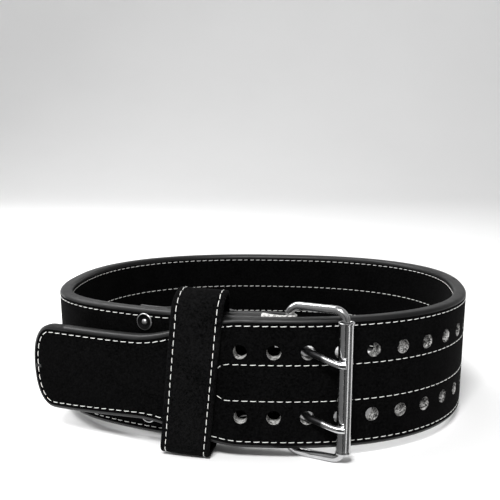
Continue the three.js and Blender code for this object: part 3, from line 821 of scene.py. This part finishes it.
def on_strap(left, height, inner=False):
    """Point and outward way on the strap's outer or inner face."""
    point = looked_up(left, station_left, station_point)
    inward = unit(looked_up(left, station_left, station_inward))
    if inner:
        thick = np.interp(left, station_left, station_thick)
        return raised(point + inward * thick[:, None], height), raised(inward, 0 * left)
    return raised(point, height), raised(-inward, 0 * left)


def sew(points, normals):
    """Stitches at an even pitch along a seam: their centres, ways along and ways out."""
    length = length_along(points)
    count = max(1, round(length[-1] / STITCH_PITCH))
    at = (np.arange(count) + 0.5) * length[-1] / count
    at = at + rng.normal(0, STITCH_SLIP, count)
    centre, before, after = (looked_up(at + step, length, points) for step in (0, -1, 1))
    return centre, unit(after - before), unit(looked_up(at, length, normals))


def stitches(name, seams, finishes):
    """One piece of many stitches. Its map's values are the shares along and round each stitch."""
    found = [sew(*seam) for seam in seams]
    centre, along, out = (np.concatenate(parts) for parts in zip(*found))
    count = len(centre)
    side = np.cross(out, along)
    along = unit(along + side * rng.normal(*STITCH_SLANT, count)[:, None])
    side = np.cross(out, along)
    length = STITCH_LENGTH * rng.normal(1, STITCH_UNEVEN, count)
    angle = np.arange(STITCH_SIDES) / STITCH_SIDES * 2 * math.pi
    rows = []
    for share, lift in STITCH_RISE:
        size = THREAD_RADIUS * (1 - 0.25 * (2 * abs(share)) ** 4)
        strands = size * (1 + 0.07 * np.cos(2 * angle + share * 12))
        rise = lift * STITCH_LIFT - GROOVE * STITCH_SINK + strands * np.sin(angle) * STITCH_FLAT
        offset = (share * length)[:, None, None] * along[:, None]
        offset = offset + (strands * np.cos(angle))[None, :, None] * side[:, None]
        rows.append(centre[:, None] + (offset + rise[None, :, None] * out[:, None]))
    points = np.stack(rows, 1)
    size = len(STITCH_RISE) * STITCH_SIDES
    starts = (np.arange(count) * size)[:, None, None]
    quads = (grid_faces(len(STITCH_RISE), STITCH_SIDES) + starts).reshape(-1, 4)
    caps = (np.array(end_faces(size, STITCH_SIDES)) + starts).reshape(-1, STITCH_SIDES)
    spin = np.broadcast_to(angle / (2 * math.pi), (count, len(STITCH_RISE), STITCH_SIDES))
    ends_at = np.broadcast_to(np.array(STITCH_RISE)[:, :1], spin.shape)
    mapping = np.stack([ends_at, spin], -1).reshape(-1, 2)
    return build(name, points.reshape(-1, 3), quads.tolist() + caps.tolist(), finishes,
                 mapping=mapping, crease=80)


def outline_seam(start, inner):
    """Along the top edge, round the tongue's tip and back along the bottom edge."""
    first = np.searchsorted(station_left, start)
    height, back = edge_line(EDGE_ROW)
    left, height = (station_left - back)[first:], height[first:]
    left = np.concatenate([left, left[::-1]])
    height = np.concatenate([height, -height[::-1]])
    return on_strap(left, height, inner)


def middle_seam(start, inner):
    """The two inner rows, which close with a rounded end on the tongue."""
    rows_end = RING_LENGTH + ROWS_CLOSE - CLOSE_LENGTH
    row_left = np.linspace(start, rows_end, 500)
    turn = np.radians(np.linspace(90, -90, 30))
    left = np.concatenate([row_left, rows_end + CLOSE_LENGTH * np.cos(turn), row_left[::-1]])
    height = np.concatenate([0 * row_left + UPPER_ROW, mix(-LOWER_ROW, UPPER_ROW, (1 + np.sin(turn)) / 2),
                             0 * row_left - LOWER_ROW])
    return on_strap(left, height, inner)


def keeper_seams():
    path, normals = keeper_path()
    path = np.concatenate([path, path[:1]])
    normals = np.concatenate([normals, normals[:1]])
    for side in (1, -1):
        across = np.full(len(path), side * (KEEPER_WIDTH / 2 - KEEPER_ROW))
        on = keeper_place(path + normals * KEEPER_THICK, across)
        yield on, unit(keeper_place(path + normals * (KEEPER_THICK + 1), across) - on)


def patch_seams():
    """Rows on the folded end, and the row across its end."""
    start, last = station_left[0] + PATCH_ROWS_START, station_left[PATCH_STATIONS - 2]
    left = np.linspace(start, last, int((last - start) / 2))
    for height in (HALF - EDGE_ROW, UPPER_ROW, -LOWER_ROW, -HALF + EDGE_ROW):
        yield on_strap(left, 0 * left + height)
    level = np.linspace(HALF - EDGE_ROW, -HALF + EDGE_ROW, 60)
    yield on_strap(0 * level + station_left[0] + PATCH_END_ROW, level)


# Shader nodes
class Shade:
    """A socket of a material's nodes. Arithmetic on it adds Math nodes."""

    def __init__(self, tree, socket=None):
        self.tree, self.socket = tree, socket

    def node(self, kind, settings=(), values=(), output=0):
        made = self.tree.nodes.new(kind)
        for name, value in dict(settings).items():
            setattr(made, name, value)
        for name, value in dict(values).items():
            if isinstance(value, Shade):
                self.tree.links.new(value.socket, made.inputs[name])
            else:
                made.inputs[name].default_value = value
        return Shade(self.tree, made.outputs[output])

    def maths(self, operation, *others):
        return self.node("ShaderNodeMath", {"operation": operation}, enumerate(others))

    def __add__(self, other):
        return self.maths("ADD", self, other)

    def __radd__(self, other):
        return self.maths("ADD", other, self)

    def __sub__(self, other):
        return self.maths("SUBTRACT", self, other)

    def __rsub__(self, other):
        return self.maths("SUBTRACT", other, self)

    def __mul__(self, other):
        return self.maths("MULTIPLY", self, other)

    def __rmul__(self, other):
        return self.maths("MULTIPLY", other, self)

    def above(self, low, high):
        return self.node("ShaderNodeMapRange", {"interpolation_type": "SMOOTHSTEP"},
                         {"Value": self, "From Min": low, "From Max": high})

    def noise(self, scale, detail=3, rough=0.5):
        return self.node("ShaderNodeTexNoise", {}, {"Vector": self, "Scale": scale, "Detail": detail,
                                                    "Roughness": rough})

    def part(self, axis):
        return self.node("ShaderNodeSeparateXYZ", {}, {"Vector": self}, axis)

    def laid(self, axis):
        """One value of the piece's own map."""
        return self.node("ShaderNodeUVMap", {"uv_map": "lay"}).part(axis)

    def stretched(self, scale):
        return self.node("ShaderNodeVectorMath", {"operation": "MULTIPLY"}, {0: self, 1: scale})

    def tint(self, dark, light):
        return self.node("ShaderNodeMix", {"data_type": "RGBA"}, {0: self, 6: (*dark, 1), 7: (*light, 1)}, 2)


def material(name, fixed, surface):
    """A finish: fixed values on the shader, and what surface() makes vary, given the place on the piece."""
    made = bpy.data.materials.new(name)
    made.use_nodes = True
    tree = made.node_tree
    shader = tree.nodes["Principled BSDF"]
    for socket, value in fixed.items():
        shader.inputs[socket].default_value = value
    start = Shade(tree)
    varying = surface(start.node("ShaderNodeTexCoord", output="Object"))
    if "Bump" in varying:
        height, strength, distance = varying.pop("Bump")
        varying["Normal"] = start.node("ShaderNodeBump", {}, {"Height": height, "Strength": strength,
                                                             "Distance": distance})
    for socket, value in varying.items():
        tree.links.new(value.socket, shader.inputs[socket])
    return made


def suede_surface(at, light=0.0046):
    nap = at.noise(1400, 3, 0.65)
    brushed = at.noise(560, 4, 0.62)
    patches = at.noise(38, 3, 0.55)
    tone = (nap * 0.6 + brushed * 0.45 + patches * 0.15).above(0.42, 0.82)
    return {"Base Color": tone.tint((0.0001, 0.0001, 0.0001), (light * 0.94, light * 0.94, light * 0.97)),
            "Roughness": 0.9 + brushed * 0.1,
            "Bump": (nap * 0.7 + brushed * 0.9, 0.35, 0.0006)}


def edge_surface(at):
    plies = at.stretched((1, 1, 14)).noise(110, 2, 0.5)
    wear = at.noise(70, 4, 0.6)
    scuff = wear.above(0.56, 0.75)
    return {"Base Color": (scuff * 0.5 + plies * 0.4).tint((0.0015, 0.0015, 0.0016), (0.009, 0.009, 0.0093)),
            "Roughness": 0.4 + scuff * 0.2 + plies * 0.08,
            "Bump": (wear * 0.6 + plies * 0.5, 0.25, 0.0005)}


# Metres right of the belt's middle, as a soft edge. The hole walls left of it get painted light, paler.
PAINTED_LIGHT_HOLES_END = (0.045, 0.06)


def raw_surface(at):
    fibres = at.stretched((1, 1, 1.6)).noise(620, 5, 0.75)
    deep = at.noise(210, 3, 0.6)
    # pale is painted light: the hole walls on the left are paler where more light falls into them
    pale = 1 - at.part(0).above(*PAINTED_LIGHT_HOLES_END)
    tone = (fibres * 0.75 + deep * 0.45 + pale * 0.07).above(0.53, 0.76)
    return {"Base Color": tone.tint((0.01, 0.01, 0.01), (0.62, 0.615, 0.6)),
            "Roughness": 0.85 + deep * 0.1,
            "Bump": (fibres, 0.9, 0.0012)}


def thread_surface(at):
    strands = at.laid(0) * 34 + at.laid(1) * (4 * math.pi)
    twist = strands.maths("SINE", strands)
    fuzz = at.noise(2600, 2, 0.6)
    return {"Base Color": (twist * 0.25 + fuzz * 0.5 + 0.3).tint((0.62, 0.615, 0.6), (0.93, 0.93, 0.91)),
            "Roughness": 0.72 + fuzz * 0.15,
            "Bump": (twist * 0.6 + fuzz * 0.5, 0.5, 0.00025)}


def nickel_surface(at):
    drawn = at.stretched((1, 1, 0.06)).noise(1500, 3, 0.6)
    marks = at.noise(120, 4, 0.6)
    return {"Base Color": (drawn * 0.4 + marks * 0.5).tint((0.42, 0.42, 0.425), (0.74, 0.74, 0.745)),
            "Roughness": 0.1 + marks * 0.1 + drawn * 0.06,
            "Bump": (drawn * 0.5 + marks * 0.4, 0.06, 0.0004)}


# Where a prong's painted shade starts and ends, right of the pivot bar, each with a soft edge
PAINTED_SHADE_START = (8, 11)
PAINTED_SHADE_END = (25, 30)


def prong_surface(at):
    """Like the wire, but darker and rougher near its hole, where the prong gets painted shade."""
    finish = nickel_surface(at)
    run = at.laid(0) + at.noise(160, 3, 0.6) * 5
    # unshaded is 0 where the prong is tinted dark as painted shade
    unshaded = run.above(*PAINTED_SHADE_END) + 1 - run.above(*PAINTED_SHADE_START)
    finish["Base Color"] = unshaded.tint((0.035, 0.035, 0.036), (0.66, 0.66, 0.665))
    finish["Roughness"] = finish["Roughness"] + (1 - unshaded) * 0.25
    return finish


def rivet_surface(at):
    marks = at.noise(420, 4, 0.65)
    reach = at.laid(0)
    # The cupped washer is painted dark: a painted reflection of the dark surroundings it mirrors
    painted_dark_cup = reach.above(0.3, 0.4) * (1 - reach.above(0.86, 0.95)) * at.laid(1).above(-0.1, 0)
    return {"Base Color": ((1 - painted_dark_cup) * (0.7 + marks * 0.3)).tint((0.02, 0.02, 0.021), (0.8, 0.8, 0.81)),
            "Roughness": 0.2 + marks * 0.2,
            "Bump": (marks, 0.12, 0.0004)}


SUEDE_GLOSS = {"Sheen Weight": 0.01, "Sheen Roughness": 0.4, "Specular IOR Level": 0.01}
suede = material("black suede", SUEDE_GLOSS, suede_surface)
# The keeper's suede is the strap's suede painted lighter: painted light, where more light falls on the keeper
keeper_suede_painted_light = material("keeper suede", SUEDE_GLOSS, lambda at: suede_surface(at, 0.0075))
edge_paint = material("painted edge", {"Specular IOR Level": 0.32}, edge_surface)
raw_leather = material("raw leather", {"Specular IOR Level": 0.2}, raw_surface)
thread = material("white thread", {"Specular IOR Level": 0.3}, thread_surface)
nickel = material("bright nickel", {"Metallic": 1.0}, nickel_surface)
prong_metal = material("prong nickel", {"Metallic": 1.0}, prong_surface)
rivet_metal = material("rivet nickel", {"Metallic": 1.0}, rivet_surface)

# Pieces
strap([suede, edge_paint, raw_leather])
keeper([keeper_suede_painted_light])
wire_loop([nickel])
roller_tube([nickel])
for name, node, level, drop in zip(("prong_top", "prong_bottom"), ("prong_upper", "prong_lower"),
                                   (HOLE_ROWS / 2, -HOLE_ROWS / 2), PRONG_TIP_DROPS):
    prong(name, node, level, drop, [prong_metal])
rivets([rivet_metal])
stitches("stitches_outside", [outline_seam(OUTLINE_START, False), middle_seam(ROWS_START, False)], [thread])
stitches("stitches_inside", [outline_seam(INSIDE_START, True), middle_seam(INSIDE_START, True)], [thread])
stitches("stitches_patch", list(patch_seams()), [thread])
stitches("stitches_keeper", list(keeper_seams()), [thread])


# Studio: a pale floor that sweeps up behind, cards, soft lamps and the camera, in metres
FLOOR_DEPTH, FLOOR_HALF_WIDTH, FLOOR_TOP = 2.2, 4.0, 3.5
BEND_START, BEND_RADIUS = 1.6, 1.2
CARDS_MIDDLE = np.array([0.06, -0.17])
CARD_STEPS = 8
CARD_LIFT = 0.002
# Cards round the buckle: from and to in degrees from the front, near and far, rise, and tone
CARDS = [(-125, -30, 0.03, 1.3, 0.6, 0.12), (-30, -5, 0.03, 1.5, 1.2, 0.01),
         (-5, 38, 0.03, 1.5, 1.2, 0.08), (50, 100, 0.03, 1.3, 0.6, 0.06)]
SHADE_INSET = 34                # in from the strap's outer face, in millimetres
SHADE_POINTS = 60
SHADE_LIFT = 0.012
# Lamps: name, place, what it shines at, width and height, and power
LAMPS = [("overhead", (-0.7, 0.5, 1.4), (-0.1, 0, 0), (1.0, 1.0), 21),
         ("front_top", (-0.25, -1.35, 1.5), (-0.05, -0.1, 0.05), (0.6, 0.35), 44),
         ("left", (-1.5, 0.5, 0.7), (-0.15, 0, 0.08), (0.6, 1.0), 11)]
ROOM_LIGHT = 0.38
# Camera: millimetres and radians, then pixels of the picture
CAMERA_DISTANCE = 720
CAMERA_RISE = 0.2509
FOCAL_PIXELS = 758.37
AXIS_PIXEL = (263.7, 332.1)
PICTURE = 500


def stage_piece(name, points, faces, finish=None):
    """A piece of the studio, from points in metres."""
    mesh = bpy.data.meshes.new(name)
    mesh.from_pydata(points, [], faces)
    if finish is not None:
        mesh.materials.append(finish)
    piece = new_object(name, mesh)
    return piece


def studio_floor():
    turns = np.linspace(0, math.pi / 2, 16)
    profile = [(-FLOOR_DEPTH, 0.0)]
    profile += [(BEND_START + BEND_RADIUS * math.sin(a), BEND_RADIUS * (1 - math.cos(a))) for a in turns]
    profile.append((BEND_START + BEND_RADIUS, FLOOR_TOP))
    points = [(side * FLOOR_HALF_WIDTH, y, z) for y, z in profile for side in (-1, 1)]
    pale = material("pale floor", {"Roughness": 0.8, "Specular IOR Level": 0.2}, lambda at: {
        "Base Color": at.noise(3, 2).tint((0.86, 0.86, 0.86), (0.9, 0.9, 0.9))})
    faces = [(2 * k, 2 * k + 1, 2 * k + 3, 2 * k + 2) for k in range(len(profile) - 1)]
    stage_piece("studio_floor", points, faces, pale).data.shade_smooth()


def studio_cards():
    """Grey and black cards on the floor in front. Only reflections show them, as streaks in the metal."""
    for number, (start, end, near, far, rise, tone) in enumerate(CARDS):
        paint = material("card", {"Roughness": 1.0}, lambda at, tone=tone: {
            "Base Color": at.noise(4, 2).tint((tone * 0.8,) * 3, (tone * 1.2,) * 3)})
        turn = np.radians(np.linspace(start, end, CARD_STEPS + 1))
        ways = np.stack([np.sin(turn), -np.cos(turn)], -1)
        rims = [raised(CARDS_MIDDLE + ways * radius, np.full(len(turn), height))
                for radius, height in ((near, CARD_LIFT), (far, CARD_LIFT + rise))]
        faces = [(k, k + 1, k + CARD_STEPS + 2, k + CARD_STEPS + 1) for k in range(CARD_STEPS)]
        card = stage_piece(f"card_{number + 1}", np.concatenate(rims).tolist(), faces, paint)
        card.visible_camera = card.visible_diffuse = card.visible_shadow = False


def shade_card():
    """A card just over the floor inside the ring. It only casts shadow, on the floor that the holes show."""
    run = np.linspace(0, RING_LENGTH, SHADE_POINTS, endpoint=False)
    points = to_row(raised(place(run, 0 * run - SHADE_INSET), -HALF))
    points[:, 2] = SHADE_LIFT
    card = stage_piece("shade_card", points.tolist(), [list(range(SHADE_POINTS))])
    card.visible_camera = card.visible_diffuse = card.visible_glossy = card.visible_transmission = False


def studio_lamp(name, place_at, aim, size, power):
    light = bpy.data.lights.new(name, "AREA")
    light.shape, light.energy = "RECTANGLE", power
    light.size, light.size_y = size
    holder = new_object(name, light)
    holder.location = place_at
    holder.rotation_euler = (Vector(aim) - Vector(place_at)).to_track_quat("-Z", "Y").to_euler()


def studio_camera():
    data = bpy.data.cameras.new("camera")
    data.lens = FOCAL_PIXELS / PICTURE * data.sensor_width
    data.shift_x = (PICTURE / 2 - AXIS_PIXEL[0]) / PICTURE
    data.shift_y = (AXIS_PIXEL[1] - PICTURE / 2) / PICTURE
    data.clip_start, data.clip_end = 0.01, 100
    camera = new_object("camera", data)
    c, s = math.cos(CAMERA_RISE), math.sin(CAMERA_RISE)
    right, up, back = (TILT @ np.array(way) for way in ((1, 0, 0), (0, s, c), (0, -c, s)))
    spin = Matrix([right, up, back]).transposed().to_4x4()
    eye = to_row([0, -CAMERA_DISTANCE * c, CAMERA_DISTANCE * s])
    camera.matrix_world = Matrix.Translation(eye.tolist()) @ spin
    bpy.context.scene.camera = camera


studio_floor()
studio_cards()
shade_card()
for row in LAMPS:
    studio_lamp(*row)
studio_camera()
world = bpy.data.worlds.new("studio")
world.use_nodes = True
backdrop = world.node_tree.nodes["Background"]
backdrop.inputs["Color"].default_value = (1, 1, 1, 1)
backdrop.inputs["Strength"].default_value = ROOM_LIGHT
bpy.context.scene.world = world
bpy.context.scene.view_settings.view_transform = "Standard"
